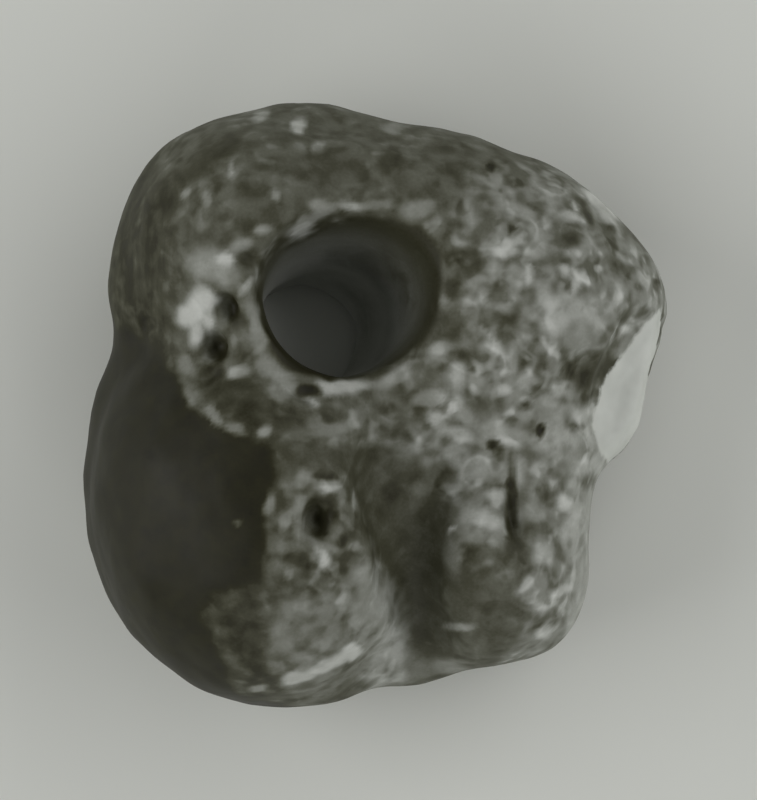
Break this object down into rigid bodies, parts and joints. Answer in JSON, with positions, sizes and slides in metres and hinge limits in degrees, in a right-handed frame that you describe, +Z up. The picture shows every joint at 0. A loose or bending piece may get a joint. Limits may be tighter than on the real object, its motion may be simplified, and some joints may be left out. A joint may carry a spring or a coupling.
{
  "type": "hag stone",
  "caption": "Lumpy dark flint nodule with a natural slanting hole worn right through it.",
  "frame": {"origin": "under the middle of the stone's outline, on the ground it lies on", "axes": "+Z up through the thickness, out of the hole's wide mouth; +Y along the longest way across the face; +X across it, towards the chipped side"},
  "size_m": [0.0926, 0.0956, 0.0517],
  "materials": {
    "flint": "weathered dark grey skin with pale cortex patches"
  },
  "bodies": {
    "root": {"hag_stone": "flint"}
  },
  "joints": []
}
